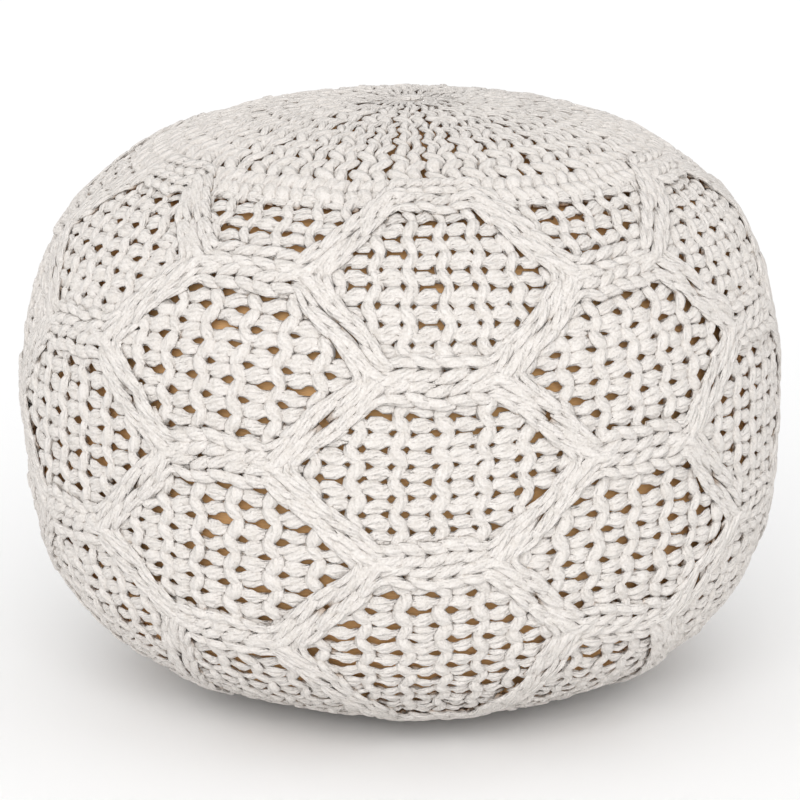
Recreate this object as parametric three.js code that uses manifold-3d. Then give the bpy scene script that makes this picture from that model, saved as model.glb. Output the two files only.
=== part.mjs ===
// A round floor pouf in thick knitted cotton. Raised cables frame three tiers of six-sided panels on
// the cover, and a filled cloth casing shows through the gaps of the knitting.
// Millimetres, +Z up, the origin at the centre of the flat base, the front towards -Y.
import * as THREE from "three";
import { mergeGeometries, mergeVertices } from "three/addons/utils/BufferGeometryUtils.js";
import Module from "manifold-3d";

// Driving dimensions of the whole pouf
const WIDTH = 500; // over the cables at the waist
const HEIGHT = 384; // from the floor to the crown
const WAIST_HEIGHT = 193; // where the pouf is widest
const BASE_RADIUS = 85; // the flat round that rests on the floor
const UPPER_FULLNESS = 2.56; // power of the upper half's outline, where 2 is an ellipse
const LOWER_FULLNESS = 2.88; // power of the lower half's outline
const SIDE_LEAN = 7; // the crown and the base sit this far to the right of the waist

// The knitting
const WALL = 13; // two cords, one behind the other
const CABLE_RISE = 4; // cables over the panels
const CABLE_WIDTH = 33; // a level cable's four cords, side by side
const CABLE_FLAT = 16; // width of a level cable's raised top
const SLANT_WIDTH = 22; // the slanting cables are drawn out narrower
const SLANT_FLAT = 11; // width of a slanting cable's raised top
const COLUMNS = 12; // columns of panels round the pouf
const TIERS = 3; // whole panels of an even column, from the crown to the underside
const PANEL_PITCH = 118.7; // height of one panel and its cable, along the outline
const LOWEST_DROP = 37; // the lowest cables lie this much lower than the others' pitch would put them
const CROWN_REACH = 175.5; // from the centre of the crown to the topmost cables, along the outline
const BAR_SHARE = 0.26; // half of a panel's level side, as a share of a column
const FRONT_TURN = THREE.MathUtils.degToRad(4.9); // the front column stands this far to the right
const FRONT_STRETCH = 0.045; // the front columns are pulled apart by this share
const CROWN_RIBS = 42; // ribs that run in to the centre of the crown
const RIB_RISE = 1.5; // ribs over and under the crown's outline
const CROWN_ROWS = [0.2, 0.55, 0.88]; // rows of points on the crown, as shares of its reach
const PANEL_SHARES = [1 / 3, 2 / 3]; // points across a panel, between the cables beside it
const BASE_ROWS = [0.5, 1]; // rows of points under the honeycomb, as shares of the way to the floor

// The casing
const CASING_CLEARANCE = 0.4; // between the cover's inside and the casing
const CASING_SIDES = 24;
const CASING_STEPS = 10;

// Gaps of the knitting that are cut through, from the middle of a panel: across and down to the gap's
// own middle, then its width and height. Half panels keep only those in their own half.
const PANEL_GAPS = [
  { across: -23, down: -36, width: 10, height: 9 },
  { across: 0, down: -36, width: 9, height: 8 },
  { across: 23, down: -36, width: 10, height: 9 },
  { across: -60, down: 0, width: 9, height: 14 },
  { across: 60, down: 0, width: 9, height: 14 },
  { across: 0, down: 35, width: 8, height: 7 },
];
const GAP_OVERCUT = 8; // past both faces of the wall

const MERGE_DISTANCE = 1e-3; // corners nearer than this are one corner
const OUTLINE_DIVISIONS = 4000; // steps in which the outline's length is measured

const wasm = await Module();
wasm.setup();

// The pouf's outline from the centre of the crown down to the edge of the flat base: two quarters of
// a superellipse that meet at the waist. The panels lie on it and the cables rise from it.
class PoufOutline extends THREE.Curve {
  constructor() {
    super();
    this.arcLengthDivisions = OUTLINE_DIVISIONS;
    this.radius = WIDTH / 2 - CABLE_RISE;
    this.baseAngle = Math.acos((BASE_RADIUS / this.radius) ** (LOWER_FULLNESS / 2));
    this.depth = WAIST_HEIGHT / Math.sin(this.baseAngle) ** (2 / LOWER_FULLNESS);
  }

  getPoint(t, target = new THREE.Vector2()) {
    const angle = THREE.MathUtils.lerp(Math.PI / 2, -this.baseAngle, t);
    const power = 2 / (angle > 0 ? UPPER_FULLNESS : LOWER_FULLNESS);
    const reach = angle > 0 ? HEIGHT - WAIST_HEIGHT : -this.depth;
    const across = this.radius * Math.max(0, Math.cos(angle)) ** power;
    return target.set(across, WAIST_HEIGHT + reach * Math.abs(Math.sin(angle)) ** power);
  }
}

const outline = new PoufOutline();
const outlineLength = outline.getLength();
const columnTurn = (2 * Math.PI) / COLUMNS;
const halfPitch = PANEL_PITCH / 2;
const lastLevel = 2 * TIERS;
const lowestBend = levelDown(lastLevel - 1);
const lowestCables = levelDown(lastLevel);

// Way down the outline to a level of the honeycomb. The levels are half a panel apart, and only the
// lowest lies further down.
function levelDown(level) {
  return CROWN_REACH + level * halfPitch + (level === lastLevel ? LOWEST_DROP : 0);
}

// Radius and height of the place that is a given way down the outline, lifted square off it.
function profilePoint(down, lift) {
  const share = down / outlineLength;
  const spot = outline.getPointAt(share);
  const run = outline.getTangentAt(share);
  return new THREE.Vector2(Math.max(0, spot.x - run.y * lift), spot.y + run.x * lift);
}

// How far to the right the hand-stuffed pouf leans at a height: not at its waist, most at crown and base.
function leanAt(height) {
  return SIDE_LEAN * ((height - WAIST_HEIGHT) / (HEIGHT - WAIST_HEIGHT)) ** 2;
}

// A turn about the axis as it is on the stuffed pouf, where the front is stretched more than the back.
function stretchedTurn(turn) {
  return turn + FRONT_STRETCH * Math.sin(turn);
}

// The same place at a turn about the axis, counted from the front towards +X.
function coverPoint(down, turn, lift) {
  const spot = profilePoint(down, lift);
  const around = stretchedTurn(turn);
  const across = spot.x * Math.sin(around) + leanAt(spot.y);
  return new THREE.Vector3(across, -spot.x * Math.cos(around), spot.y);
}

// Turn of a column's middle.
function columnMiddle(column) {
  return FRONT_TURN + column * columnTurn;
}

// Share of a column from an even column's middle to the cable beside it: the cable swings between the
// ends of the even columns' level sides and the ends of the odd columns' level sides.
function cableSwing(down) {
  const over = Math.max(0, down - lowestBend);
  const levels = (down - over - CROWN_REACH) / halfPitch + over / (halfPitch + LOWEST_DROP);
  const swing = 1 - Math.abs(1 - (levels % 2));
  return BAR_SHARE + (1 - 2 * BAR_SHARE) * swing;
}

// Even levels hold the level cables of the even columns, odd levels those of the odd columns.
function hasLevelCable(column, level) {
  return (level - column) % 2 === 0;
}

// One row of points round the honeycomb: for each column the two edges and two crests of the slanting
// cable on its right, then two points on the next column's panel.
function honeycombRow(level, offset) {
  const down = levelDown(level) + offset;
  const inHoneycomb = down > CROWN_REACH - CABLE_WIDTH / 2 && down < lowestCables + CABLE_WIDTH / 2;
  const onLevelCable = Math.abs(offset) <= CABLE_FLAT / 2;
  const swing = cableSwing(THREE.MathUtils.clamp(down, CROWN_REACH, lowestCables));
  const slantWidth = Math.SQRT2 / profilePoint(down, 0).x; // a slanting cable is wider on the level
  const edge = (SLANT_WIDTH / 2) * slantWidth;
  const crest = (SLANT_FLAT / 2) * slantWidth;
  const cables = [];
  for (let column = 0; column <= COLUMNS; column += 1) {
    const share = column % 2 === 0 ? swing : 1 - swing;
    cables.push(columnMiddle(column) + share * columnTurn);
  }
  const points = [];
  for (let column = 0; column < COLUMNS; column += 1) {
    const here = cables[column];
    const next = cables[column + 1];
    const flat = inHoneycomb && onLevelCable;
    const leftLift = flat && hasLevelCable(column, level) ? CABLE_RISE : 0;
    const rightLift = flat && hasLevelCable(column + 1, level) ? CABLE_RISE : 0;
    const crestLift = inHoneycomb ? CABLE_RISE : 0;
    points.push(coverPoint(down, here - edge, leftLift));
    points.push(coverPoint(down, here - crest, crestLift));
    points.push(coverPoint(down, here + crest, crestLift));
    points.push(coverPoint(down, here + edge, rightLift));
    for (const share of PANEL_SHARES) {
      const turn = THREE.MathUtils.lerp(here + edge, next - edge, share);
      points.push(coverPoint(down, turn, rightLift));
    }
  }
  return points;
}

// A row of evenly turned points, every other one lifted and the rest sunk by the same rise.
function evenRow(down, count, rise) {
  const start = columnMiddle(0) + columnTurn * BAR_SHARE;
  return Array.from({ length: count }, (_, i) => {
    const lift = i % 2 === 0 ? rise : -rise;
    return coverPoint(down, start + (i / count) * 2 * Math.PI, lift);
  });
}

// Triangles between two rows that run once round the pouf, facing out. The rows may differ in number.
function joinRows(upper, lower, corners) {
  let i = 0;
  let j = 0;
  while (i < upper.length || j < lower.length) {
    const high = upper[i % upper.length];
    const low = lower[j % lower.length];
    const stepUpper = (i + 1) * lower.length <= (j + 1) * upper.length;
    if (i < upper.length && (stepUpper || j === lower.length)) {
      i += 1;
      corners.push(high, low, upper[i % upper.length]);
    } else {
      j += 1;
      corners.push(high, low, lower[j % lower.length]);
    }
  }
}

// The closed outside of the cover: crown, honeycomb, underside and flat base.
function coverOutside() {
  const rows = CROWN_ROWS.map((share) => evenRow(share * CROWN_REACH, 2 * CROWN_RIBS, RIB_RISE));
  for (let level = 0; level <= lastLevel; level += 1) {
    for (const side of [-1, 1]) {
      const offsets = [(side * CABLE_FLAT) / 2, (side * CABLE_WIDTH) / 2];
      offsets.sort((a, b) => a - b);
      offsets.forEach((offset) => rows.push(honeycombRow(level, offset)));
    }
  }
  const underside = lowestCables + CABLE_WIDTH / 2;
  const baseSides = rows.at(-1).length;
  for (const share of BASE_ROWS) {
    rows.push(evenRow(THREE.MathUtils.lerp(underside, outlineLength, share), baseSides, 0));
  }
  const corners = [];
  const crown = coverPoint(0, 0, 0);
  const base = new THREE.Vector3(leanAt(0), 0, 0);
  const fanRound = (row, visit) => row.forEach((point, i) => visit(point, row[(i + 1) % row.length]));
  fanRound(rows[0], (point, next) => corners.push(crown, point, next));
  rows.slice(1).forEach((row, i) => joinRows(rows[i], row, corners));
  fanRound(rows.at(-1), (point, next) => corners.push(base, next, point));
  return new THREE.BufferGeometry().setFromPoints(corners);
}

// A smooth filled round inside the cover, a given way in from its panels.
function roundInside(inset) {
  const profile = [new THREE.Vector2(0, inset)];
  for (let step = CASING_STEPS; step >= 0; step -= 1) {
    profile.push(profilePoint((step / CASING_STEPS) * outlineLength, -inset));
  }
  profile.at(1).y = inset; // the flat base stays level
  const round = new THREE.LatheGeometry(profile, CASING_SIDES).rotateX(Math.PI / 2);
  const places = round.getAttribute("position");
  for (let i = 0; i < places.count; i += 1) {
    places.setX(i, places.getX(i) + leanAt(places.getZ(i)));
  }
  return round;
}

// A three-cornered cutter square through the wall, for the gap between two loops and the cord over them.
function gapCutter(column, middleDown, gap) {
  const down = middleDown + gap.down;
  const turn = columnMiddle(column) + gap.across / profilePoint(down, 0).x;
  const mouth = new THREE.Shape([
    new THREE.Vector2(gap.width / 2, gap.height / 2),
    new THREE.Vector2(-gap.width / 2, gap.height / 2),
    new THREE.Vector2(0, -gap.height / 2),
  ]);
  const depth = WALL + CABLE_RISE + 2 * GAP_OVERCUT;
  const cutter = new THREE.ExtrudeGeometry(mouth, { depth, bevelEnabled: false });
  const start = coverPoint(down, turn, -WALL - GAP_OVERCUT);
  const out = coverPoint(down, turn, 0).sub(start).normalize();
  const around = stretchedTurn(turn);
  const side = new THREE.Vector3(Math.cos(around), Math.sin(around), 0);
  const up = new THREE.Vector3().crossVectors(out, side);
  return cutter.applyMatrix4(new THREE.Matrix4().makeBasis(side, up, out).setPosition(start));
}

// Cutters of every panel. Even columns hold whole panels only, and odd columns have a half panel that
// runs on into the crown and another that runs on into the underside.
function allGapCutters() {
  const cutters = [];
  for (let column = 0; column < COLUMNS; column += 1) {
    const firstMiddle = column % 2 === 0 ? halfPitch : 0;
    for (let middle = firstMiddle; middle <= lastLevel * halfPitch; middle += PANEL_PITCH) {
      PANEL_GAPS.forEach((gap) => {
        const reach = middle + gap.down;
        const inHoneycomb = reach > CABLE_WIDTH / 2 && reach < lastLevel * halfPitch - CABLE_WIDTH / 2;
        if (inHoneycomb) cutters.push(gapCutter(column, CROWN_REACH + middle, gap));
      });
    }
  }
  return cutters;
}

// A closed geometry as a solid that can be cut, and back again.
function solidOf(geometry) {
  const bare = new THREE.BufferGeometry();
  bare.setAttribute("position", geometry.getAttribute("position"));
  if (geometry.index) bare.setIndex(geometry.index);
  const merged = mergeVertices(bare, MERGE_DISTANCE);
  const vertProperties = new Float32Array(merged.attributes.position.array);
  const triVerts = new Uint32Array(merged.index.array);
  return new wasm.Manifold(new wasm.Mesh({ numProp: 3, vertProperties, triVerts }));
}

function geometryOf(solid) {
  const mesh = solid.getMesh();
  const geometry = new THREE.BufferGeometry();
  geometry.setAttribute("position", new THREE.BufferAttribute(mesh.vertProperties, 3));
  geometry.setIndex(new THREE.BufferAttribute(mesh.triVerts, 1));
  geometry.computeVertexNormals();
  return geometry;
}

// The knitted cover, hollow for the casing and open at its gaps.
function knitCover() {
  const shell = solidOf(coverOutside()).subtract(solidOf(roundInside(WALL)));
  const cut = shell.subtract(solidOf(mergeGeometries(allGapCutters())));
  const cotton = new THREE.MeshStandardMaterial({ color: 0xebe4de, roughness: 0.95, metalness: 0 });
  const mesh = new THREE.Mesh(geometryOf(cut), cotton);
  mesh.name = "knit_cover";
  return mesh;
}

// The filled casing under the cover.
function innerCasing() {
  const cloth = new THREE.MeshStandardMaterial({ color: 0xb08c5a, roughness: 0.9, metalness: 0 });
  const mesh = new THREE.Mesh(roundInside(WALL + CASING_CLEARANCE), cloth);
  mesh.name = "inner_casing";
  return mesh;
}

const pouf = new THREE.Group();
pouf.name = "knitted_pouf";
pouf.add(knitCover(), innerCasing());

export default pouf;
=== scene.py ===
# %% [markdown]
# # A knitted pouf, cord by cord
# The pouf is a filled cloth casing inside a cover that is knitted from one thick cotton cord. So this
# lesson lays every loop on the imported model's outline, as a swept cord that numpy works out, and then
# adds the cloth, the finishes and the light. All lengths are in metres.

# %% Load the frame
import math
import bpy
import numpy as np
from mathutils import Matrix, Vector


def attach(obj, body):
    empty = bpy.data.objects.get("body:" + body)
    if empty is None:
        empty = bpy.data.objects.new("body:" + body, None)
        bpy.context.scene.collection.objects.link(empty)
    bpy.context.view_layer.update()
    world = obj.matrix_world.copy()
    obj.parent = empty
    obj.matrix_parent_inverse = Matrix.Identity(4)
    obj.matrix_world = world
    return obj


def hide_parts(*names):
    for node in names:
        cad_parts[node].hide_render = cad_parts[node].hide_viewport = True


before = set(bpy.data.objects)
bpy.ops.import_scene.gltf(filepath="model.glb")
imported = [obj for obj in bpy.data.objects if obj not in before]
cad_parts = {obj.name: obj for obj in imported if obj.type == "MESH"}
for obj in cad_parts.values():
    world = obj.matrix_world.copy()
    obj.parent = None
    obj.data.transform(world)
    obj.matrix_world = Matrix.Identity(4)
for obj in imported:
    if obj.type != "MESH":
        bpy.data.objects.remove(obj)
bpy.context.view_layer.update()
MM = 0.001
print("frame nodes:", sorted(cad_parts))

# %% [markdown]
# ## The camera
# The photograph was taken from a little over two metres away with a long lens, slightly above the pouf.
# The camera could be moved by hand until it fits. Here it is worked out from a distance, an elevation and
# a point to aim at, so that each can be changed alone. A long lens keeps the width of the crown and the
# base close to their true share of the waist.

# %% Place the camera
CAMERA_DISTANCE = 2.362
CAMERA_ELEVATION = math.radians(13.47)
CAMERA_LENS = 162.8
SENSOR_WIDTH = 36.0
POUF_MIDDLE = Vector((0.0, 0.0, 0.1968))
AIM = Vector((0.0, 0.0, 0.1827))


def place_camera():
    """A camera on the front side, raised by the elevation and turned to the aim point."""
    lens = bpy.data.cameras.new("photo_camera")
    lens.lens = CAMERA_LENS
    lens.sensor_width = SENSOR_WIDTH
    camera = bpy.data.objects.new("photo_camera", lens)
    back = Vector((0.0, -math.cos(CAMERA_ELEVATION), math.sin(CAMERA_ELEVATION)))
    camera.location = POUF_MIDDLE + CAMERA_DISTANCE * back
    camera.rotation_euler = (AIM - camera.location).to_track_quat("-Z", "Y").to_euler()
    bpy.context.collection.objects.link(camera)
    bpy.context.scene.camera = camera
    bpy.context.scene.view_settings.view_transform = "Standard"
    return camera


camera = place_camera()
print("camera at", tuple(round(value, 3) for value in camera.location))

# %% [markdown]
# ## The outline that everything lies on
# Cut through its middle, the pouf is two quarters of a superellipse that meet at the waist, and a flat
# round base. It could be a mesh that the loops are snapped to. A formula is lighter: a place on the cover
# is a turn about the axis, counted from the front, and a way down the outline from the centre of the
# crown. A table of the outline at even steps turns such places into points with whole-array lookups.

# %% Outline of the pouf
WAIST_RADIUS = 246 * MM
WAIST_HEIGHT = 193 * MM
CROWN_HEIGHT = 384 * MM
BASE_RADIUS = 85 * MM
# Powers of the superellipse above and below the waist, where 2 is an ellipse.
UPPER_FULLNESS = 2.56
LOWER_FULLNESS = 2.88
OUTLINE_STEPS = 6000
BASE_STEPS = 200


def outline_points():
    """Superellipse quarters from crown to base edge, as powers of a cosine and a sine, then straight in
    to the centre of the base."""
    base_angle = math.acos((BASE_RADIUS / WAIST_RADIUS) ** (LOWER_FULLNESS / 2))
    depth = WAIST_HEIGHT / math.sin(base_angle) ** (2 / LOWER_FULLNESS)
    angle = np.linspace(math.pi / 2, -base_angle, OUTLINE_STEPS)
    power = np.where(angle > 0, 2 / UPPER_FULLNESS, 2 / LOWER_FULLNESS)
    reach = np.where(angle > 0, CROWN_HEIGHT - WAIST_HEIGHT, -depth)
    radius = WAIST_RADIUS * np.maximum(np.cos(angle), 0) ** power
    height = WAIST_HEIGHT + reach * np.abs(np.sin(angle)) ** power
    inward = np.linspace(BASE_RADIUS, 0, BASE_STEPS)[1:]
    return np.concatenate([radius, inward]), np.concatenate([height, np.zeros_like(inward)])


def even_outline():
    """The outline at even steps of length, with its outward direction in the cutting plane."""
    radius, height = outline_points()
    length = np.concatenate([[0], np.cumsum(np.hypot(np.diff(radius), np.diff(height)))])
    down = np.linspace(0, length[-1], OUTLINE_STEPS)
    radius = np.interp(down, length, radius)
    height = np.interp(down, length, height)
    run_out = np.gradient(radius, down)
    run_up = np.gradient(height, down)
    size = np.hypot(run_out, run_up)
    return down, radius, height, -run_up / size, run_out / size


OUTLINE = even_outline()
UNDERSIDE_MIDDLE = OUTLINE[0][-1]


def radius_at(down):
    """Radius of the outline at a way down from the crown."""
    return np.interp(down, OUTLINE[0], OUTLINE[1])


print("outline length in mm:", round(UNDERSIDE_MIDDLE / MM))

# %% [markdown]
# ## How the knitting settled
# The pouf isn't even. Its front columns are pulled apart, some cables have dropped or risen, and the
# crown and the base lean to the right. This could be sculpted at the end, but that would bend single
# cords out of shape. Moving the places before any loop is laid on them keeps every loop whole.

# %% Settled places on the cover
SIDE_LEAN = 7 * MM
FRONT_STRETCH = 0.045
# Turn in degrees and way down in millimetres, then the drop and the shift to the right in millimetres.
SETTLED = [
    (4, 294, 5, 0),
    (-26, 353, -3, 0),
    (-25, 470, 0, -12),
    (-40, 465, -11, 0),
    (28, 470, -9, -5),
    (28, 240, 6, 0),
    (-13, 240, 3, 6),
]
SETTLED_SPREAD = 55 * MM
WAVE_HEIGHT = 1.5 * MM
WAVE_RATE = 25.0
DROP_WAVES = 3
SHIFT_WAVES = 4


def settled(turn, down):
    """Places after use: stretched apart at the front by a sine of the turn, moved by slow waves all
    round, and moved in a few bell shapes."""
    fade = np.sin(math.pi * down / UNDERSIDE_MIDDLE)
    lower = WAVE_HEIGHT * np.sin(DROP_WAVES * turn + WAVE_RATE * down) * fade
    aside = WAVE_HEIGHT * np.cos(SHIFT_WAVES * turn - WAVE_RATE * down)
    for at_turn, at_down, drop, shift in SETTLED:
        across = (np.mod(turn - math.radians(at_turn) + math.pi, 2 * math.pi) - math.pi) * WAIST_RADIUS
        away = np.hypot(across, down - at_down * MM) / SETTLED_SPREAD
        bell = np.exp(-(away**2))
        lower = lower + drop * MM * bell
        aside = aside + shift * MM * bell
    return turn + FRONT_STRETCH * np.sin(turn) + aside / WAIST_RADIUS, down + lower


def lean_at(height):
    """How far to the right the pouf leans: none at the waist, growing as the square of the height from
    it."""
    return SIDE_LEAN * ((height - WAIST_HEIGHT) / (CROWN_HEIGHT - WAIST_HEIGHT)) ** 2


def on_cover(turn, down, lift):
    """Points of the cover and the outward directions there: turned about the axis, lifted off the
    outline."""
    turn, down = settled(turn, down)
    table, radius, height, out_radius, out_height = OUTLINE
    out_r = np.interp(down, table, out_radius)
    out_z = np.interp(down, table, out_height)
    r = np.maximum(np.interp(down, table, radius) + lift * out_r, 0)
    z = np.interp(down, table, height) + lift * out_z
    points = np.stack([r * np.sin(turn) + lean_at(z), -r * np.cos(turn), z], axis=-1)
    outward = np.stack([out_r * np.sin(turn), -out_r * np.cos(turn), out_z], axis=-1)
    return points, outward


print("bell shapes in the settled cover:", len(SETTLED))

# %% [markdown]
# ## The honeycomb
# Twelve columns of six-sided panels go round the pouf. Slanting cables between the columns swing from
# side to side, and level cables close each panel above and below. The lowest half panels are longer than
# the others. The panels could be cut out of a mesh. Counting places in columns, and in levels of half a
# panel, is simpler, because a function can then say how far inside its panel any stitch is.

# %% Columns and levels
COLUMNS = 12
TIERS = 3
PANEL_PITCH = 118.7 * MM
LOWEST_DROP = 37 * MM
CROWN_REACH = 175.5 * MM
# Half of a panel's level side, as a share of a column.
BAR_SHARE = 0.26
FRONT_TURN = math.radians(4.9)
COLUMN_TURN = 2 * math.pi / COLUMNS
HALF_PITCH = PANEL_PITCH / 2
LAST_LEVEL = 2 * TIERS
LOWEST_HALF = HALF_PITCH + LOWEST_DROP
LOWEST_BEND = CROWN_REACH + (LAST_LEVEL - 1) * HALF_PITCH
LOWEST_CABLES = LOWEST_BEND + LOWEST_HALF


def turn_at(column):
    """Turns about the axis at places counted in columns."""
    return FRONT_TURN + column * COLUMN_TURN


def level_at(down):
    """Levels of the honeycomb at ways down the outline: half a panel each, with the lowest one longer."""
    over = np.maximum(down - LOWEST_BEND, 0)
    return (down - over - CROWN_REACH) / HALF_PITCH + over / LOWEST_HALF


def down_at(level):
    """Ways down the outline at levels of the honeycomb."""
    return CROWN_REACH + level * HALF_PITCH + np.maximum(level - LAST_LEVEL + 1, 0) * LOWEST_DROP


print("honeycomb in mm from", round(CROWN_REACH / MM), "to", round(LOWEST_CABLES / MM))

# %% Places inside the panels
# Stitches may come this much nearer to the slanting cables than to the level ones.
SLANT_LESS = 4.5 * MM


def honeycomb_place(turn, down):
    """A place counted in columns and levels, its way from the nearest even column, and half the width of
    that column's panels there, which swings between its least and its most with the level."""
    column = (turn - FRONT_TURN) / COLUMN_TURN
    level = level_at(down)
    half_width = BAR_SHARE + (1 - 2 * BAR_SHARE) * (1 - np.abs(1 - np.mod(level, 2)))
    return column, level, np.abs(column - 2 * np.round(column / 2)), half_width


def panel_inset(turn, down):
    """How far inside its panel a place is: the lesser of its ways to the slanting and the level
    cables."""
    _, level, from_even, half_width = honeycomb_place(turn, down)
    span = COLUMN_TURN * radius_at(down)
    pitch = np.where(down < LOWEST_BEND, HALF_PITCH, LOWEST_HALF)
    slope = pitch / np.hypot(pitch, (1 - 2 * BAR_SHARE) * span)
    to_slant = np.abs(from_even - half_width) * span * slope
    first = np.where(from_even < half_width, 0, 1)
    nearest = first + 2 * np.round((level - first) / 2)
    return np.minimum(to_slant + SLANT_LESS, np.abs(down - down_at(nearest)))


def below_cable(turn, down):
    """How far a place is under the level cable at the top of its panel."""
    _, level, from_even, half_width = honeycomb_place(turn, down)
    first = np.where(from_even < half_width, 0, 1)
    return down - down_at(first + 2 * np.floor((level - first) / 2))


def panel_column(turn, down):
    """Number of the column of panels that a place is in: the nearest even one, or else the nearest odd
    one."""
    column, _, from_even, half_width = honeycomb_place(turn, down)
    even = 2 * np.round(column / 2)
    odd = 2 * np.round((column - 1) / 2) + 1
    return np.mod(np.where(from_even < half_width, even, odd), COLUMNS)


print("middle of a panel in mm from its cables:", round(panel_inset(turn_at(0), down_at(1)) / MM))

# %% Corners of the panels
NEAR, FAR = BAR_SHARE, 1 - BAR_SHARE
# Columns and levels from a panel's middle to its corners, once round from the upper left one.
PANEL_SHAPE = np.array([[-NEAR, -1], [NEAR, -1], [FAR, 0], [NEAR, 1], [-NEAR, 1], [-FAR, 0]])


def panel_corners():
    """Six corners of every whole panel, as rows of columns and levels."""
    middles = []
    for column in range(COLUMNS):
        middles += [(column, level) for level in range(1 + column % 2, LAST_LEVEL, 2)]
    return [PANEL_SHAPE + np.array(middle) for middle in middles]


def border_corners(even_level, odd_level):
    """Corners of the honeycomb's upper or lower border, which goes up and down round the whole pouf."""
    levels = [(column, even_level if column % 2 == 0 else odd_level) for column in range(COLUMNS)]
    return np.array([(column + side * BAR_SHARE, level) for column, level in levels for side in (-1, 1)])


print("whole panels:", len(panel_corners()))

# %% [markdown]
# ## From a line to a cord
# Every loop is a soft cord that is pressed wider than it is deep. Blender's curves with a bevel could
# make it, but thousands of them are slow. Here a flattened section with six sides is carried along all
# lines of a kind at once. Each section is set square to its line, with the cover's outward direction as
# its top, so neighbouring sections never twist against each other. The length along the cord and the way
# round it become a UV map, so that the finish can lay the plies along the cord. How high each point lies
# becomes an attribute named height, so that the finish can paint brown shade on what lies deep, where
# shade falls between the loops and light bounces off the tan casing.

# %% Sweep cords
CORD_SIDES = 6
# Share to which a round section is flattened.
FLATNESS = 0.5
SHORTEST = 1e-12


def unit(vectors):
    """Vectors scaled to length one."""
    return vectors / np.maximum(np.linalg.norm(vectors, axis=-1, keepdims=True), SHORTEST)


def sweep_cords(lines, outward, radius, depth):
    """Vertices, quads, end faces, UVs and heights of cords along lines of shape (cords, points, 3). A
    section is its line's point, plus the radius times a sine to the side and a flattened cosine to the
    top."""
    cords, points = lines.shape[:2]
    along = unit(np.gradient(lines, axis=1))
    side = unit(np.cross(along, outward))
    top = np.cross(side, along)
    angle = (np.arange(CORD_SIDES) + 0.5) * 2 * math.pi / CORD_SIDES
    section = FLATNESS * np.cos(angle)[:, None] * top[:, :, None] + np.sin(angle)[:, None] * side[:, :, None]
    thick = np.broadcast_to(radius, (cords, points))[:, :, None, None]
    vertices = (lines[:, :, None] + thick * section).reshape(-1, 3)
    index = np.arange(cords * points * CORD_SIDES).reshape(cords, points, CORD_SIDES)
    here, ahead = index[:, :-1], index[:, 1:]
    quads = np.stack([here, np.roll(here, -1, 2), np.roll(ahead, -1, 2), ahead], axis=-1)
    ends = np.concatenate([index[:, 0, ::-1], index[:, -1]])
    length = np.cumsum(np.linalg.norm(np.diff(lines, axis=1, prepend=lines[:, :1]), axis=2), axis=1)
    ring = np.arange(CORD_SIDES + 1) / CORD_SIDES
    u = np.broadcast_to(length[:, :, None], (cords, points, CORD_SIDES))
    u = np.stack([u[:, :-1], u[:, :-1], u[:, 1:], u[:, 1:]], axis=-1)
    v = np.stack([ring[:-1], ring[1:], ring[1:], ring[:-1]], axis=-1)
    uv = np.stack([u, np.broadcast_to(v, u.shape)], axis=-1).reshape(-1, 2)
    height = depth[:, :, None] + FLATNESS * thick[..., 0] * np.cos(angle)
    return vertices, quads.reshape(-1, 4), ends, uv, height.ravel()


print("sides of a cord:", CORD_SIDES)

# %% One mesh of many cords


def cord_piece(name, swept):
    """One mesh object of several sweeps: quads round the cords and one face over each end."""
    base = np.cumsum([0] + [len(part[0]) for part in swept])
    vertices = np.concatenate([part[0] for part in swept])
    quads = np.concatenate([part[1] + start for part, start in zip(swept, base)])
    ends = np.concatenate([part[2] + start for part, start in zip(swept, base)])
    uv = np.concatenate([part[3] for part in swept])
    heights = np.concatenate([part[4] for part in swept])
    loops = np.concatenate([quads.ravel(), ends.ravel()]).astype(np.int32)
    totals = np.concatenate([np.full(len(quads), 4), np.full(len(ends), CORD_SIDES)])
    starts = np.concatenate([[0], np.cumsum(totals)[:-1]])
    mesh = bpy.data.meshes.new(name)
    mesh.vertices.add(len(vertices))
    mesh.vertices.foreach_set("co", vertices.astype(np.float32).ravel())
    mesh.loops.add(len(loops))
    mesh.loops.foreach_set("vertex_index", loops)
    mesh.polygons.add(len(totals))
    mesh.polygons.foreach_set("loop_start", starts.astype(np.int32))
    mesh.polygons.foreach_set("use_smooth", np.ones(len(totals), bool))
    layer = mesh.uv_layers.new(name="cord")
    all_uv = np.concatenate([uv, np.zeros((ends.size, 2))])
    layer.data.foreach_set("uv", all_uv.astype(np.float32).ravel())
    height = mesh.attributes.new("height", "FLOAT", "POINT")
    height.data.foreach_set("value", heights.astype(np.float32))
    mesh.update(calc_edges=True)
    mesh.validate()
    piece = bpy.data.objects.new(name, mesh)
    bpy.context.collection.objects.link(piece)
    triangles = 2 * len(quads) + (CORD_SIDES - 2) * len(ends)
    print(name, "cords:", len(ends) // 2, "triangles:", triangles)
    return piece


print("cord meshes carry a UV map named cord and an attribute named height")

# %% Lines through knots
# Turns a loop's knots to its other side: their way across changes its sign.
OTHER_SIDE = np.array([-1.0, 1.0, 1.0, 1.0])


def smooth_line(knots, samples):
    """A Catmull-Rom curve through rows of knots, at even steps from the first to the last."""
    before, after = 2 * knots[:1] - knots[1:2], 2 * knots[-1:] - knots[-2:-1]
    padded = np.concatenate([before, knots, after])
    place = np.linspace(0, len(knots) - 1, samples)
    first = np.minimum(place.astype(int), len(padded) - 4)
    t = (place - first)[:, None]
    a, b, c, d = (padded[first + shift] for shift in range(4))
    return 0.5 * (2 * b + (c - a) * t + (2 * a - 5 * b + 4 * c - d) * t**2 + (3 * b - a - 3 * c + d) * t**3)


def mirrored(half):
    """A whole loop from its left half: the same knots again in reverse, on the other side."""
    half = np.array(half)
    return np.concatenate([half, half[::-1] * OTHER_SIDE])


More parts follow.
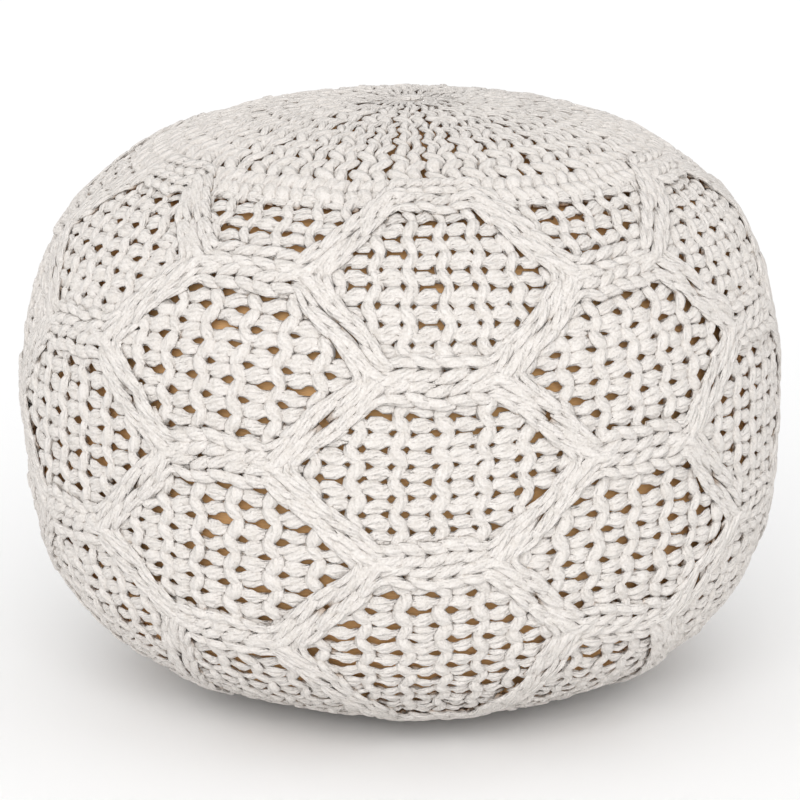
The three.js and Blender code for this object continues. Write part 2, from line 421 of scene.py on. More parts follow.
print("values of a knot:", len(OTHER_SIDE))

# %% [markdown]
# ## Rib stitches
# Each panel is filled with rib stitch: a column of knit loops, then a column of purl loops. From outside,
# a knit loop is one fat upright leg that grows out of the loop below it. A purl loop is two level cords,
# a lower and an upper one, which touch where they are fat and leave a hole where they are thin. There are
# three kinds: with a hole at both ends where the cover is stretched, with one hole at one side where it
# is slack, and a loose one under the level cables. Every course leans the other way from the last and its
# one-sided holes change sides, so the columns zigzag. One loop could be copied by an array, but then all
# would be alike. A short table of knots for each kind, laid on the outline a little unevenly, gives each
# loop its own form.

# %% Knots of the rib loops
# Columns across: way across in stitches, rise in courses, depth in millimetres, share of the cord.
KNIT_LEG = np.array(
    [
        [0.00, -0.25, -3.2, 0.95],
        [0.00, 0.02, -1.2, 1.15],
        [0.00, 0.30, 0.0, 1.42],
        [0.00, 0.70, 0.3, 1.46],
        [0.00, 1.02, 0.2, 1.24],
        [0.00, 1.24, -2.6, 0.90],
    ]
)
# Lower cord of a stretched purl loop: thin near both ends, fat in the middle.
PAIR_FOOT = mirrored(
    [
        [-0.95, 0.46, -1.6, 0.74],
        [-0.68, 0.45, -0.4, 0.75],
        [-0.47, 0.44, 0.1, 0.79],
        [-0.24, 0.30, 0.4, 1.05],
    ]
)
# Lower cord of a slack purl loop: fat at its left, thin at its right.
TWISTED_FOOT = np.array(
    [
        [-0.95, 0.36, -3.0, 0.95],
        [-0.66, 0.34, -1.7, 1.00],
        [-0.38, 0.32, 0.2, 1.14],
        [-0.06, 0.34, 0.5, 1.08],
        [0.20, 0.42, 0.1, 0.87],
        [0.44, 0.465, -0.2, 0.77],
        [0.68, 0.46, -0.8, 0.78],
        [0.95, 0.43, -1.8, 0.84],
    ]
)
# Lower cord of a loose purl loop: fat at its left, then thinner and higher all the way to its right.
LOOSE_FOOT = np.array(
    [
        [-0.95, 0.36, -3.0, 0.90],
        [-0.64, 0.33, -1.5, 0.98],
        [-0.34, 0.31, 0.2, 1.06],
        [0.10, 0.43, 0.1, 0.84],
        [0.50, 0.51, -0.6, 0.70],
        [0.95, 0.51, -2.4, 0.70],
    ]
)
PURL_MIDDLE = 0.5


def upper_cord(lower):
    """The upper cord of a purl loop: the lower one, turned half round about the middle of the loop."""
    upper = lower[::-1] * np.array([-1.0, -1.0, 1.0, 1.0])
    return upper + np.array([0.0, 2 * PURL_MIDDLE, 0.0, 0.0])


print("knots of a knit leg:", len(KNIT_LEG), "and of a slack purl cord:", len(TWISTED_FOOT))

# %% Lay rib loops on the cover
RIBS = 63
COURSES = 11
COURSE = PANEL_PITCH / COURSES
RIB_CORD = 3.3 * MM
RIB_LEAN = 2.3 * MM
RIB_DEPTH = -3.4 * MM
RIB_POINTS = 8
# How sharply the lean changes sides from course to course.
KNIT_SHARPNESS = 1.0
PURL_SHARPNESS = 2.5
# Cords are whole where stitches are this wide, and thinner where they are narrower, down to a least
# share.
FULL_STITCH = 12 * MM
LEAST_TIGHT = 0.3
# Spreads of the loops' unevenness: in stitches, courses, metres and shares of the cord.
UNEVEN_ACROSS = 0.05
UNEVEN_RISE = 0.05
UNEVEN_DEPTH = 0.45 * MM
UNEVEN_CORD = 0.08
SEED = 12
rng = np.random.default_rng(SEED)


def uneven(count, spread):
    """One small random number for each loop, as a column, so that no two loops are quite alike."""
    return rng.normal(0, spread, (count, 1))


def rib_cords(loop, stitch, course, ribs, first_course, sharpness, fullness=1.0):
    """Swept cords of one kind of rib loop at given stitches and courses, turned to the other side on odd
    courses. The lean swings from side to side with a sharpened cosine of the course. Both it and the cord
    grow less where the stitches are narrower."""
    line = smooth_line(loop, RIB_POINTS)
    count = len(stitch)
    hand = np.where(course % 2 == 0, 1, -1)[:, None]
    across = hand * line[:, 0] + uneven(count, UNEVEN_ACROSS)
    row = course[:, None] - line[:, 1] + uneven(count, UNEVEN_RISE)
    down = first_course + row * COURSE
    tight = np.clip(radius_at(down) * math.pi / ribs / FULL_STITCH, LEAST_TIGHT, 1)
    side = RIB_LEAN * tight * np.tanh(sharpness * np.cos(math.pi * row)) / math.tanh(sharpness)
    turn = (stitch[:, None] + across) * math.pi / ribs + side / radius_at(down)
    depth = line[:, 2] * MM + uneven(count, UNEVEN_DEPTH)
    thick = RIB_CORD * fullness * line[:, 3] * tight * (1 + uneven(count, UNEVEN_CORD))
    points, outward = on_cover(turn, down, RIB_DEPTH + depth)
    return sweep_cords(points, outward, thick, depth)


def knit_cords(stitch, course, ribs, first_course):
    """The legs of knit loops."""
    return [rib_cords(KNIT_LEG, stitch, course, ribs, first_course, KNIT_SHARPNESS)]


def purl_cords(foot, stitch, course, ribs, first_course, fullness=1.0):
    """Both cords of purl loops."""
    place = (stitch, course, ribs, first_course, PURL_SHARPNESS, fullness)
    return [rib_cords(foot, *place), rib_cords(upper_cord(foot), *place)]


print("stitches round the pouf:", 2 * RIBS, "course in mm:", round(COURSE / MM, 1))

# %% Fill the panels
PANEL_MARGIN = 10.5 * MM
LOOSE_ROWS = 25 * MM
LOWEST_FULLNESS = 0.93
STRETCHED_COLUMNS = 4
TIER_NAMES = ("upper", "middle", "lower")
# For each tier, the lower cord of its stretched purl loops and the share of the cord.
TIER_FEET = (PAIR_FOOT, PAIR_FOOT, TWISTED_FOOT)
TIER_FULLNESS = (1.19, 1.0, 1.0)
TIER_EDGES = (0, COURSES, 2 * COURSES, int((LOWEST_CABLES - CROWN_REACH) / COURSE))


def panel_stitches(parity, courses):
    """Stitches of one kind inside the panels, as stitch and course numbers, and their places on the
    cover, halfway up each course."""
    stitch, course = np.meshgrid(np.arange(parity, 2 * RIBS, 2), courses)
    turn = stitch * math.pi / RIBS
    down = CROWN_REACH + (course - 0.5) * COURSE
    inside = panel_inset(turn, down) > PANEL_MARGIN
    return stitch[inside], course[inside], turn[inside], down[inside]


def panel_ribs(courses, stretched_foot, fullness):
    """Swept loops of a tier of panels. Purl loops are loose under the level cables. Of the others, those
    in every fourth column are stretched and the rest are slack."""
    stitch, course, _, _ = panel_stitches(0, courses)
    swept = knit_cords(stitch, course, RIBS, CROWN_REACH)
    stitch, course, turn, down = panel_stitches(1, courses)
    loose = below_cable(turn, down) < LOOSE_ROWS
    stretched = ~loose & (panel_column(turn, down) % STRETCHED_COLUMNS == 0)
    twisted = ~loose & ~stretched
    for foot, pick in ((LOOSE_FOOT, loose), (stretched_foot, stretched), (TWISTED_FOOT, twisted)):
        full = np.where(down[pick] < LOWEST_BEND, fullness, LOWEST_FULLNESS)[:, None]
        swept += purl_cords(foot, stitch[pick], course[pick], RIBS, CROWN_REACH, full)
    return swept


panel_pieces = []
for tier, name in enumerate(TIER_NAMES):
    courses = np.arange(TIER_EDGES[tier], TIER_EDGES[tier + 1]) + 1
    swept = panel_ribs(courses, TIER_FEET[tier], TIER_FULLNESS[tier])
    panel_pieces.append(cord_piece("rib_panels_" + name, swept))

# %% [markdown]
# ## Cables round the panels
# Each panel is framed by a chain of loops along its edge, one loop growing out of the last, so a cable
# between two panels shows two chains, or four cords, side by side. On the slants the chains are drawn
# out: they are narrower and thinner, and their loops are longer. The side corners of a panel are blunt,
# and strands cross over its level corners from one cable to the next. The honeycomb's upper and lower
# borders have chains of their own. All this could be drawn by hand as curves. Working it out from the
# panels' corners keeps the chains on the honeycomb when its sizes change.

# %% Knots of the cables
CHAIN_CORD = 3.4 * MM
CHAIN_LIFT = -0.6 * MM
CHAIN_POINTS = 13
# Left half of one loop of the chain: across in millimetres, along in loops, depth in millimetres, share
# of the cord.
CHAIN_LOOP = mirrored(
    [
        [-1.6, -0.10, -3.0, 0.70],
        [-2.3, 0.14, -0.6, 0.95],
        [-3.2, 0.45, 0.4, 1.12],
        [-4.4, 0.80, 0.5, 1.14],
        [-5.4, 1.12, 0.0, 1.04],
        [-5.6, 1.40, -2.2, 0.80],
    ]
)
WIDEST_ALONG = 1.12
# A strand that crosses at a corner: along in millimetres, from the level cable to the slanting one,
# inwards in millimetres, depth in millimetres, share of the cord.
CROSSING = np.array(
    [
        [-16.0, 3.6, -3.2, 0.70],
        [-10.0, 2.6, -0.2, 0.94],
        [-3.0, 0.6, 0.6, 1.14],
        [5.0, -1.6, 0.6, 1.26],
        [16.0, -1.6, 0.1, 1.16],
        [28.0, -0.8, -0.3, 0.98],
        [40.0, -0.2, -3.0, 0.62],
    ]
)
print("knots of a chain loop:", len(CHAIN_LOOP), "and of a crossing strand:", len(CROSSING))

# %% Lines along the panels' edges
EDGE_STEP = 0.6 * MM
CORNER_ROUNDING = 3.5 * MM


def drawn_in(corners, inset, period):
    """A closed line drawn in: each corner goes in by its inset, along the middle between its sides'
    normals. The period is the way across after which the line closes, none for a panel and once round for
    a border."""
    ahead = np.roll(corners, -1, 0)
    ahead[-1, 0] += period
    run = unit(ahead - corners)
    inward = np.stack([-run[:, 1], run[:, 0]], axis=1)
    return corners + np.reshape(inset, (-1, 1)) * unit(np.roll(inward, 1, 0) + inward)


def even_steps(corners, period):
    """A closed line as evenly spaced points, its length, and the share of it at each corner."""
    closed = np.concatenate([corners, corners[:1] + np.array([period, 0])])
    length = np.concatenate([[0], np.cumsum(np.linalg.norm(np.diff(closed, axis=0), axis=1))])
    count = round(length[-1] / EDGE_STEP)
    place = np.arange(count) * length[-1] / count
    points = np.stack([np.interp(place, length, closed[:, k]) for k in range(2)], axis=1)
    return points, length[-1], length / length[-1]


def rounded(points, length, period):
    """A closed line with its corners eased: each point is a bell-weighted mean of its neighbours."""
    count = len(points)
    away = np.arange(count) * length / count
    away = np.minimum(away, length - away)
    bell = np.exp(-0.5 * (away / CORNER_ROUNDING) ** 2)
    bell = np.fft.fft(bell / bell.sum())
    slope = np.outer(np.arange(count) / count, [period, 0])
    return slope + np.real(np.fft.ifft(np.fft.fft(points - slope, axis=0) * bell[:, None], axis=0))


def laid_flat(corners):
    """Corners as ways across and down the cover, with the column in their middle and the width of a
    column."""
    column, level = corners.mean(axis=0)
    span = COLUMN_TURN * radius_at(down_at(level))
    flat = np.stack([(corners[:, 0] - column) * span, down_at(corners[:, 1])], axis=1)
    return flat, column, span


print("rounding of the corners in mm:", round(CORNER_ROUNDING / MM, 1))

# %% Chains of loops
CHAIN_INSET = 8.2 * MM
# The side corners of a panel are drawn in further than the others, so they are blunt.
BLUNT = 1.4
PANEL_INSETS = CHAIN_INSET * np.array([1, 1, BLUNT, 1, 1, BLUNT])
CHAIN_PITCH = 12.6 * MM
# Rise of an edge that counts as fully slanting, and what such an edge does to the chain: shares by which
# it is narrower and thinner and its loops are longer, and how much nearer it lies to the panel's outline.
SLANT_STEEP = 0.7
SLANT_NARROW = 0.5
SLANT_THIN = 0.24
SLANT_LONGER = 0.35
SLANT_NEARER = 2 * MM
# Slow sideways waves of a chain: their height and how many go once round its edge.
WANDER = 0.7 * MM
WANDER_WAVES = np.array([5, 8, 11])
# Spreads of the chain loops' unevenness: in loops, metres, metres and shares of the cord.
CHAIN_UNEVEN_ALONG = 0.04
CHAIN_UNEVEN_ACROSS = 0.35 * MM
CHAIN_UNEVEN_DEPTH = 0.3 * MM
CHAIN_UNEVEN_CORD = 0.04


def slant_share(rise):
    """How far an edge counts as slanting, from none where it is level to one where it is steep."""
    return np.minimum(np.abs(rise) / SLANT_STEEP, 1)


def wander(share):
    """Sideways shifts of a chain at shares of its closed edge: a sum of sines with random starts."""
    start = rng.uniform(0, 2 * math.pi, len(WANDER_WAVES))
    return WANDER * np.sin(2 * math.pi * share[..., None] * WANDER_WAVES + start).sum(axis=-1)


def chain_cords(turn, down, loops, corners, outside):
    """Swept cords of a chain along a closed edge, given by its turns, its ways down, the number of loops
    up to each corner, the share of the edge at each corner, and its side. A loop's knots are set off
    along the edge and square to it. Where the edge slants the chain is narrower and lies nearer to the
    panel's outline."""
    loop = smooth_line(CHAIN_LOOP, CHAIN_POINTS)
    total = loops[-1]
    along = loop[:, 1] - WIDEST_ALONG + uneven(total, CHAIN_UNEVEN_ALONG)
    number = np.mod(np.arange(total)[:, None] + along, total)
    place = np.interp(number, loops, corners) * len(turn)
    first = place.astype(int) % len(turn)
    share = place - place.astype(int)
    step_turn = np.roll(turn, -1) - turn
    step_turn = np.mod(step_turn + math.pi, 2 * math.pi) - math.pi
    step_down = np.roll(down, -1) - down
    at_turn = turn[first] + share * step_turn[first]
    at_down = down[first] + share * step_down[first]
    reach = radius_at(at_down)
    run = unit(np.stack([step_turn[first] * reach, step_down[first]], axis=-1))
    slant = slant_share(run[..., 1])
    across = loop[:, 0] * MM * (1 - SLANT_NARROW * slant) + uneven(total, CHAIN_UNEVEN_ACROSS)
    across = across - outside * SLANT_NEARER * slant + wander(number / total)
    at_turn = at_turn - across * run[..., 1] / reach
    at_down = at_down + across * run[..., 0]
    depth = loop[:, 2] * MM + uneven(total, CHAIN_UNEVEN_DEPTH)
    thick = CHAIN_CORD * loop[:, 3] * (1 + uneven(total, CHAIN_UNEVEN_CORD)) * (1 - SLANT_THIN * slant)
    points, outward = on_cover(at_turn, at_down, CHAIN_LIFT + depth)
    return sweep_cords(points, outward, thick, depth)


def edge_chain(corners, inset, columns=0):
    """Swept cords of the chain beside a closed line of corners, with the columns after which the line
    closes."""
    flat, column, span = laid_flat(corners)
    period = columns * span
    inner = drawn_in(flat, inset, period)
    edge, length, shares = even_steps(inner, period)
    place = rounded(edge, length, period)
    turn = turn_at(column + place[:, 0] / span)
    sides = np.diff(shares) * length
    rise = np.abs(np.roll(inner[:, 1], -1) - inner[:, 1])
    pitch = CHAIN_PITCH * (1 + SLANT_LONGER * slant_share(rise / sides))
    loops = np.concatenate([[0], np.cumsum(np.round(sides / pitch))]).astype(int)
    return chain_cords(turn, place[:, 1], loops, shares, np.sign(np.mean(inset)))


print("chain loops in mm:", round(CHAIN_PITCH / MM, 1))

# %% Strands across the corners
# Each level corner of a panel, above and below, with the corner beside it and the one that its slanting
# edge leads to.
UPPER_CORNERS = np.array([[0, 1, 5], [1, 0, 2]])
LOWER_CORNERS = np.array([[3, 4, 2], [4, 3, 5]])
LEVEL_CORNERS = np.concatenate([UPPER_CORNERS, LOWER_CORNERS])


def crossing_cords(corners, picked):
    """Swept strands over picked corners of a panel: along the level edge, round the corner and along the
    slanting edge, moved in by the knots' own way inwards."""
    flat, column, span = laid_flat(corners)
    line = smooth_line(CROSSING, CHAIN_POINTS)
    corner, beside, slant_end = flat[picked.T, None]
    to_level = unit(beside - corner)
    to_slant = unit(slant_end - corner)
    along = line[:, :1] * MM
    place = corner - np.minimum(along, 0) * to_level + np.maximum(along, 0) * to_slant
    place = place + line[:, 1:2] * MM * unit(to_level + to_slant)
    turn = turn_at(column + place[..., 0] / span)
    depth = line[:, 2] * MM + uneven(len(corner), CHAIN_UNEVEN_DEPTH)
    points, outward = on_cover(turn, place[..., 1], CHAIN_LIFT + depth)
    return sweep_cords(points, outward, CHAIN_CORD * line[:, 3], depth)


print("strands across the corners of a whole panel:", len(LEVEL_CORNERS))

# %% Make the cables
chains = {name: [] for name in TIER_NAMES}
for corners in panel_corners():
    tier = min(int((corners[:, 1].mean() - 1) // 2), TIERS - 1)
    chains[TIER_NAMES[tier]] += [edge_chain(corners, PANEL_INSETS), crossing_cords(corners, LEVEL_CORNERS)]
for column in range(1, COLUMNS, 2):
    chains["upper"].append(crossing_cords(PANEL_SHAPE + np.array([column, 0]), LOWER_CORNERS))
    chains["lower"].append(crossing_cords(PANEL_SHAPE + np.array([column, LAST_LEVEL]), UPPER_CORNERS))
chains["upper"].append(edge_chain(border_corners(0, 1), -CHAIN_INSET, COLUMNS))
chains["lower"].append(edge_chain(border_corners(LAST_LEVEL, LAST_LEVEL - 1), CHAIN_INSET, COLUMNS))
cable_pieces = [cord_piece("cables_" + name, swept) for name, swept in chains.items()]

# %% [markdown]
# ## Crown and underside
# Two plain rounds close the half panels at the top. From there ribs of V-shaped loops run in to the
# crown, with zigzag lines of gaps between them and half as many ribs near the middle, and one turn of
# cord gathers their ends. The underside keeps the narrow rib of the panels and runs in to the middle of
# the base. Both could be spun from a single rib. Laying them with the function that lays the panels gives
# them the same lean and the same unevenness.

# %% Loops in whole rounds
# Left leg of a loop of the crown's ribs: across in stitches, rise in courses, depth in millimetres, share
# of the cord.
CROWN_LEG = np.array(
    [
        [-0.11, -0.15, -2.6, 0.90],
        [-0.31, 0.10, -0.4, 1.38],
        [-0.44, 0.42, 0.4, 1.52],
        [-0.565, 0.78, 0.4, 1.54],
        [-0.64, 1.08, -0.2, 1.40],
        [-0.66, 1.34, -2.6, 0.90],
    ]
)
GATHER_RADIUS = 4.5 * MM
GATHER_CORD = 3.6 * MM
GATHER_LIFT = -2.2 * MM
GATHER_POINTS = 25


def round_cords(loop, stitch, first_course, courses, ribs, fullness=1.0):
    """Swept cords of a kind of loop in whole rounds, at given stitches, from a way down the outline
    upwards."""
    stitch, course = np.meshgrid(stitch, -np.arange(courses))
    return rib_cords(loop, stitch.ravel(), course.ravel(), ribs, first_course, KNIT_SHARPNESS, fullness)


def crown_ribs(first_course, courses, ribs):
    """Both legs of the loops of the crown's ribs, which lie side by side with a zigzag line of gaps
    between."""
    stitch = np.arange(0, 2 * ribs, 2)
    legs = (CROWN_LEG, CROWN_LEG * OTHER_SIDE)
    return [round_cords(leg, stitch, first_course, courses, ribs) for leg in legs]


def narrow_rib(first_course, courses, ribs):
    """Knit and purl loops of whole rounds of the panels' rib, from a way down the outline upwards."""
    stitch, course = np.meshgrid(np.arange(0, 2 * ribs, 2), -np.arange(courses))
    stitch, course = stitch.ravel(), course.ravel()
    knit = knit_cords(stitch, course, ribs, first_course)
    return knit + purl_cords(PAIR_FOOT, stitch + 1, course, ribs, first_course)


def gathering_cord():
    """One turn of cord round the middle of the crown, over the ends of its last loops."""
    turn = np.linspace(0, 2 * math.pi, GATHER_POINTS)[None]
    points, outward = on_cover(turn, np.full_like(turn, GATHER_RADIUS), GATHER_LIFT)
    return sweep_cords(points, outward, GATHER_CORD, np.zeros_like(turn))


print("knots of a crown leg:", len(CROWN_LEG))

# %% Make the crown and the underside
CROWN_RIBS = 42
POLE_RIBS = 21
POLE_COURSES = 6
POLE_GAP = 8 * MM
PLAIN_RIBS = 63
PLAIN_COURSES = 2
PLAIN_FULLNESS = 1.55
plain_edge = CROWN_REACH + COURSE / 2
crown_edge = plain_edge - PLAIN_COURSES * COURSE
crown_courses = int((crown_edge - POLE_GAP) / COURSE) - POLE_COURSES
pole_edge = crown_edge - crown_courses * COURSE
plain = np.arange(2 * PLAIN_RIBS)
crown_cords = [round_cords(KNIT_LEG, plain, plain_edge, PLAIN_COURSES, PLAIN_RIBS, PLAIN_FULLNESS)]
crown_cords += crown_ribs(crown_edge, crown_courses, CROWN_RIBS)
crown_cords += crown_ribs(pole_edge, POLE_COURSES, POLE_RIBS)
crown_cords.append(gathering_cord())
crown = cord_piece("rib_crown", crown_cords)
under_courses = int((UNDERSIDE_MIDDLE - POLE_GAP - LOWEST_CABLES) / COURSE)
under_edge = LOWEST_CABLES + under_courses * COURSE
underside = cord_piece("rib_underside", narrow_rib(under_edge, under_courses, CROWN_RIBS))

# %% [markdown]
# ## The casing
# The filling sits in a plain cloth casing that shows in the gaps. It could be a ball that is pressed into
# shape. The outline, moved in by about the thickness of the knitting and turned about the axis, follows
# the cover everywhere.

# %% Casing under the knitting
CASING_INSET = 11.0 * MM
CASING_TURNS = 120
CASING_STEPS = 80


def casing_piece():
    """A closed round surface: the outline, lifted inwards, at even turns and even ways down."""
    down = np.linspace(0, UNDERSIDE_MIDDLE, CASING_STEPS)
    turn = np.arange(CASING_TURNS) * 2 * math.pi / CASING_TURNS
    grid_turn, grid_down = np.meshgrid(turn, down[1:-1])
    points, _ = on_cover(grid_turn, grid_down, -CASING_INSET)
    points[..., 2] = np.maximum(points[..., 2], CASING_INSET)
    rows = len(down) - 2
    index = np.arange(rows * CASING_TURNS).reshape(rows, CASING_TURNS)
    here, below = index[:-1], index[1:]
    quads = np.stack([here, below, np.roll(below, -1, 1), np.roll(here, -1, 1)], axis=-1)
    poles = np.array([[lean_at(z), 0, z] for z in (CROWN_HEIGHT - CASING_INSET, CASING_INSET)])
    vertices = np.concatenate([points.reshape(-1, 3), poles])
    top = np.stack([np.full(CASING_TURNS, len(vertices) - 2), index[0], np.roll(index[0], -1)], axis=1)
    base = np.stack([np.full(CASING_TURNS, len(vertices) - 1), np.roll(index[-1], -1), index[-1]], axis=1)
    faces = quads.reshape(-1, 4).tolist() + top.tolist() + base.tolist()
    mesh = bpy.data.meshes.new("casing")
    mesh.from_pydata(vertices.tolist(), [], faces)
    mesh.polygons.foreach_set("use_smooth", np.ones(len(faces), bool))
    piece = bpy.data.objects.new("casing", mesh)
    bpy.context.collection.objects.link(piece)
    return piece


casing = casing_piece()
print("casing faces:", len(casing.data.polygons))

# %% [markdown]
# ## The cotton's finish
# The cord is matte cotton of a warm white. Its plies wind along it, so their bump follows the cord's own
# UV map, and noise in object space makes the fuzz and the slight changes of shade. Deep between the loops
# the cotton looks brown, from shade and from light bounced off the tan casing. That brown is painted: a
# painted texture could show it, but the height attribute already says how deep each point lies, so it
# paints the brown shade on what is deep.

# %% Helpers for the finishes


def new_material(name):
    """A material with its nodes, its links and its shader."""
    material = bpy.data.materials.new(name)
    material.use_nodes = True
    nodes = material.node_tree.nodes
    return material, nodes, material.node_tree.links, nodes["Principled BSDF"]


def noise_node(nodes, links, place, scale, detail):
    """Noise in object space."""
    noise = nodes.new("ShaderNodeTexNoise")
    noise.inputs["Scale"].default_value = scale
    noise.inputs["Detail"].default_value = detail
    links.new(place.outputs["Object"], noise.inputs["Vector"])
    return noise


def shade_node(nodes, dark, light, start, end):
    """A ramp from a dark shade to a light one, between two values of a pattern."""
    shade = nodes.new("ShaderNodeValToRGB")
    shade.color_ramp.elements[0].color = dark
    shade.color_ramp.elements[0].position = start
    shade.color_ramp.elements[1].color = light
    shade.color_ramp.elements[1].position = end
    return shade


def bump_node(nodes, links, pattern, strength, distance):
    """A bump from the values of a pattern."""
    bump = nodes.new("ShaderNodeBump")
    bump.inputs["Strength"].default_value = strength
    bump.inputs["Distance"].default_value = distance
    links.new(pattern.outputs["Fac"], bump.inputs["Height"])
    return bump


print("helpers for materials, noise, shades and bumps are ready")

# %% Cotton cord
COTTON = (0.80, 0.76, 0.725, 1.0)
COTTON_SHADE = (0.67, 0.625, 0.58, 1.0)
# Painted brown shade for the parts of the cord that lie deep between loops.
COTTON_PAINTED_SHADE = (0.50, 0.29, 0.13, 1.0)
COTTON_ROUGHNESS = 0.95
COTTON_SPECULAR = 0.2
COTTON_SHEEN = 0.15
# Values of the noise between which the shade turns light.
SHADE_START = 0.35
SHADE_END = 0.6
# Heights between which the painted brown shade of the deep parts fades out.
PAINTED_SHADE_FULL = -3.5 * MM
PAINTED_SHADE_NONE = -0.4 * MM
BLOTCH_SCALE = 160.0
BLOTCH_DETAIL = 6.0
FUZZ_SCALE = 700.0
FUZZ_DETAIL = 5.0
FUZZ_SHARE = 0.6
FUZZ_STRENGTH = 0.9
FUZZ_BUMP = 1.3 * MM
# Scales of the UV map along the cord and round it, and the plies on it.
PLY_STRETCH = (90.0, 5.0, 1.0)
PLY_SCALE = 0.5
PLY_DISTORTION = 1.0
PLY_STRENGTH = 0.7
PLY_BUMP = 1.2 * MM


def cotton_colour(nodes, links, blotch, fuzz):
    """A node with the cotton's colour: blotches and fuzz mixed into one shade, with a painted brown shade
    where the height is low, standing for shade and bounced light between the loops."""
    both = nodes.new("ShaderNodeMix")
    both.inputs["Factor"].default_value = FUZZ_SHARE
    links.new(blotch.outputs["Fac"], both.inputs["A"])
    links.new(fuzz.outputs["Fac"], both.inputs["B"])
    shade = shade_node(nodes, COTTON_SHADE, COTTON, SHADE_START, SHADE_END)
    links.new(both.outputs["Result"], shade.inputs["Fac"])
    height = nodes.new("ShaderNodeAttribute")
    height.attribute_name = "height"
    shade_depth = nodes.new("ShaderNodeMapRange")
    shade_depth.inputs["From Min"].default_value = PAINTED_SHADE_FULL
    shade_depth.inputs["From Max"].default_value = PAINTED_SHADE_NONE
    links.new(height.outputs["Fac"], shade_depth.inputs["Value"])
    # Painted shade: the cord's colour turns brown where it lies deep between loops.
    painted_shade = nodes.new("ShaderNodeMix")
    painted_shade.data_type = "RGBA"
    painted_shade.inputs["A"].default_value = COTTON_PAINTED_SHADE
    links.new(shade_depth.outputs["Result"], painted_shade.inputs["Factor"])
    links.new(shade.outputs["Color"], painted_shade.inputs["B"])
    return painted_shade


def ply_pattern(nodes, links, place):
    """A node with the plies: diagonal bands on the stretched UV map, so that they wind along the cord."""
    along = nodes.new("ShaderNodeMapping")
    along.inputs["Scale"].default_value = PLY_STRETCH
    links.new(place.outputs["UV"], along.inputs["Vector"])
    plies = nodes.new("ShaderNodeTexWave")
    plies.wave_type = "BANDS"
    plies.bands_direction = "DIAGONAL"
    plies.inputs["Scale"].default_value = PLY_SCALE
    plies.inputs["Distortion"].default_value = PLY_DISTORTION
    links.new(along.outputs["Vector"], plies.inputs["Vector"])
    return plies


def cotton_material():
    """Warm white cotton: blotches of shade, painted brown shade where the cord lies low between loops, plies
    that wind along the cord, and fuzz.
    """
    material, nodes, links, shader = new_material("cotton_cord")
    shader.inputs["Roughness"].default_value = COTTON_ROUGHNESS
    shader.inputs["Specular IOR Level"].default_value = COTTON_SPECULAR
    shader.inputs["Sheen Weight"].default_value = COTTON_SHEEN
    place = nodes.new("ShaderNodeTexCoord")
    blotch = noise_node(nodes, links, place, BLOTCH_SCALE, BLOTCH_DETAIL)
    fuzz = noise_node(nodes, links, place, FUZZ_SCALE, FUZZ_DETAIL)
    colour = cotton_colour(nodes, links, blotch, fuzz)
    links.new(colour.outputs["Result"], shader.inputs["Base Color"])
    ply_bump = bump_node(nodes, links, ply_pattern(nodes, links, place), PLY_STRENGTH, PLY_BUMP)
    fuzz_bump = bump_node(nodes, links, fuzz, FUZZ_STRENGTH, FUZZ_BUMP)
    links.new(ply_bump.outputs["Normal"], fuzz_bump.inputs["Normal"])
    links.new(fuzz_bump.outputs["Normal"], shader.inputs["Normal"])
    return material


cotton = cotton_material()
knit_pieces = panel_pieces + cable_pieces + [crown, underside]
for piece in knit_pieces:
    piece.data.materials.append(cotton)
print("material:", cotton.name, "on pieces:", len(knit_pieces))

# %% [markdown]
# ## The casing's finish
# The casing is plain tan cloth. Its weave could be woven from threads, but only small patches of it show.
# Fine bands of a wave stand for the weave, and a soft noise changes the shade.

# %% Casing cloth
TAN = (0.90, 0.56, 0.27, 1.0)
TAN_SHADE = (0.74, 0.43, 0.18, 1.0)
CLOTH_ROUGHNESS = 0.9
CLOTH_SPECULAR = 0.2
CLOTH_SCALE = 25.0
CLOTH_DETAIL = 2.0
WEAVE_SCALE = 160.0
WEAVE_STRENGTH = 0.3
WEAVE_BUMP = 0.5 * MM


def casing_material():
    """Plain tan cloth: fine level bands for the weave and a soft change of shade."""
    material, nodes, links, shader = new_material("casing_cloth")
    shader.inputs["Roughness"].default_value = CLOTH_ROUGHNESS
    shader.inputs["Specular IOR Level"].default_value = CLOTH_SPECULAR
    place = nodes.new("ShaderNodeTexCoord")
    blotch = noise_node(nodes, links, place, CLOTH_SCALE, CLOTH_DETAIL)
    shade = shade_node(nodes, TAN_SHADE, TAN, 0.0, 1.0)
    links.new(blotch.outputs["Fac"], shade.inputs["Fac"])
    links.new(shade.outputs["Color"], shader.inputs["Base Color"])
    weave = nodes.new("ShaderNodeTexWave")
    weave.bands_direction = "Z"
    weave.inputs["Scale"].default_value = WEAVE_SCALE
    links.new(place.outputs["Object"], weave.inputs["Vector"])
    bump = bump_node(nodes, links, weave, WEAVE_STRENGTH, WEAVE_BUMP)
    links.new(bump.outputs["Normal"], shader.inputs["Normal"])
    return material


tan_cloth = casing_material()
casing.data.materials.append(tan_cloth)
print("material:", tan_cloth.name)

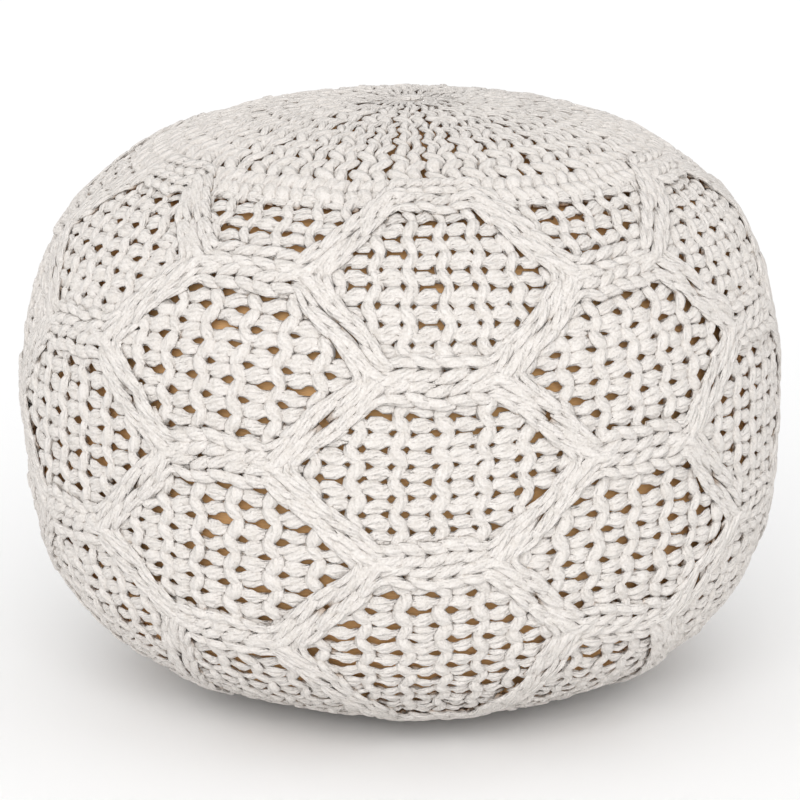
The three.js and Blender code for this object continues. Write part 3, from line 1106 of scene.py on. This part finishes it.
# %% [markdown]
# ## What stands for what
# The knitted pieces stand for the cover's solid and the casing for its own. The cover could be one large
# mesh, but pieces by tier stay small enough to be exported whole. All of them are soft, filled things on
# the pouf's one body.

# %% Tie the pieces to the frame
for piece in knit_pieces:
    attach(piece, "root")
    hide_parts("knit_cover")
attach(casing, "root")
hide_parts("inner_casing")
print("pieces tied:", len(knit_pieces) + 1)

# %% [markdown]
# ## Floor and light
# The photograph has a white ground and soft light from the front and above. Several lamps could give it.
# A large pale floor, a pale world and one wide, even light give it with fewer values to balance.

# %% Floor, world and light
FLOOR_SIZE = 12.0
FLOOR_COLOUR = (0.96, 0.96, 0.96, 1.0)
FLOOR_ROUGHNESS = 0.9
SUN_FROM = (-0.06, -0.88, 0.47)
SUN_STRENGTH = 1.7
SUN_WIDTH = math.radians(50)
WORLD_COLOUR = (1.0, 1.0, 1.0, 1.0)
WORLD_STRENGTH = 0.82


def floor_piece():
    """A large square on the ground plane."""
    half = FLOOR_SIZE / 2
    corners = [(-half, -half, 0), (half, -half, 0), (half, half, 0), (-half, half, 0)]
    mesh = bpy.data.meshes.new("floor")
    mesh.from_pydata(corners, [], [(0, 1, 2, 3)])
    material, _, _, shader = new_material("pale_floor")
    shader.inputs["Base Color"].default_value = FLOOR_COLOUR
    shader.inputs["Roughness"].default_value = FLOOR_ROUGHNESS
    mesh.materials.append(material)
    floor = bpy.data.objects.new("floor", mesh)
    bpy.context.collection.objects.link(floor)
    return floor


def soft_sun():
    """A wide, even light from the front, above and a little to the left, as from a very large softbox."""
    data = bpy.data.lights.new("front_light", "SUN")
    data.energy = SUN_STRENGTH
    data.angle = SUN_WIDTH
    lamp = bpy.data.objects.new("front_light", data)
    lamp.rotation_euler = (-Vector(SUN_FROM)).to_track_quat("-Z", "Y").to_euler()
    bpy.context.collection.objects.link(lamp)
    return lamp


floor = floor_piece()
lamp = soft_sun()
world = bpy.data.worlds.new("studio")
world.use_nodes = True
background = world.node_tree.nodes["Background"]
background.inputs["Color"].default_value = WORLD_COLOUR
background.inputs["Strength"].default_value = WORLD_STRENGTH
bpy.context.scene.world = world
print("stage:", floor.name, lamp.name, world.name)
